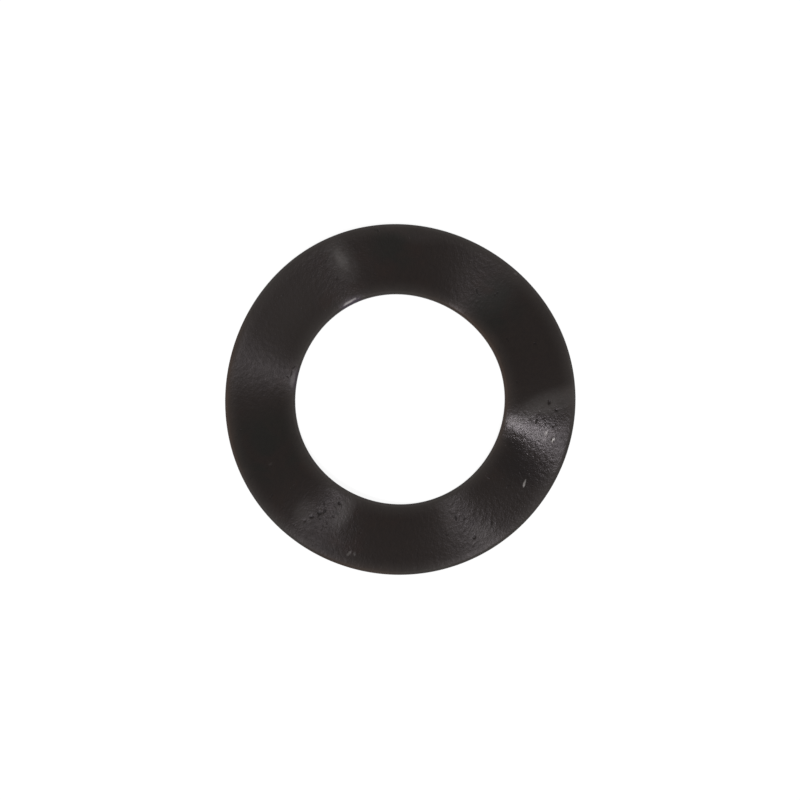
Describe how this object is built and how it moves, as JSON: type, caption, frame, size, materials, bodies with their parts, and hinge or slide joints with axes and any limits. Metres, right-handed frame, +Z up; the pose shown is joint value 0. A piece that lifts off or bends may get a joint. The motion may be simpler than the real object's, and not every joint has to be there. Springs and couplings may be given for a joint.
{
  "type": "wave washer",
  "caption": "Flat spring ring pressed into even waves, with a plain round bore, in dark oiled spring steel.",
  "frame": {"origin": "on the bore's axis, in the plane that the undersides of the troughs touch", "axes": "+Z up along the bore; +X through the middle of one crest, so crests lie at 0, 120 and 240 degrees about +Z"},
  "size_m": [0.0204, 0.0204, 0.0021],
  "materials": {
    "dark_spring_steel": "hardened spring steel with a thin black-brown oxide and oil, finely pebbled, satin"
  },
  "bodies": {
    "root": {"wave_washer": "dark_spring_steel"}
  },
  "joints": []
}
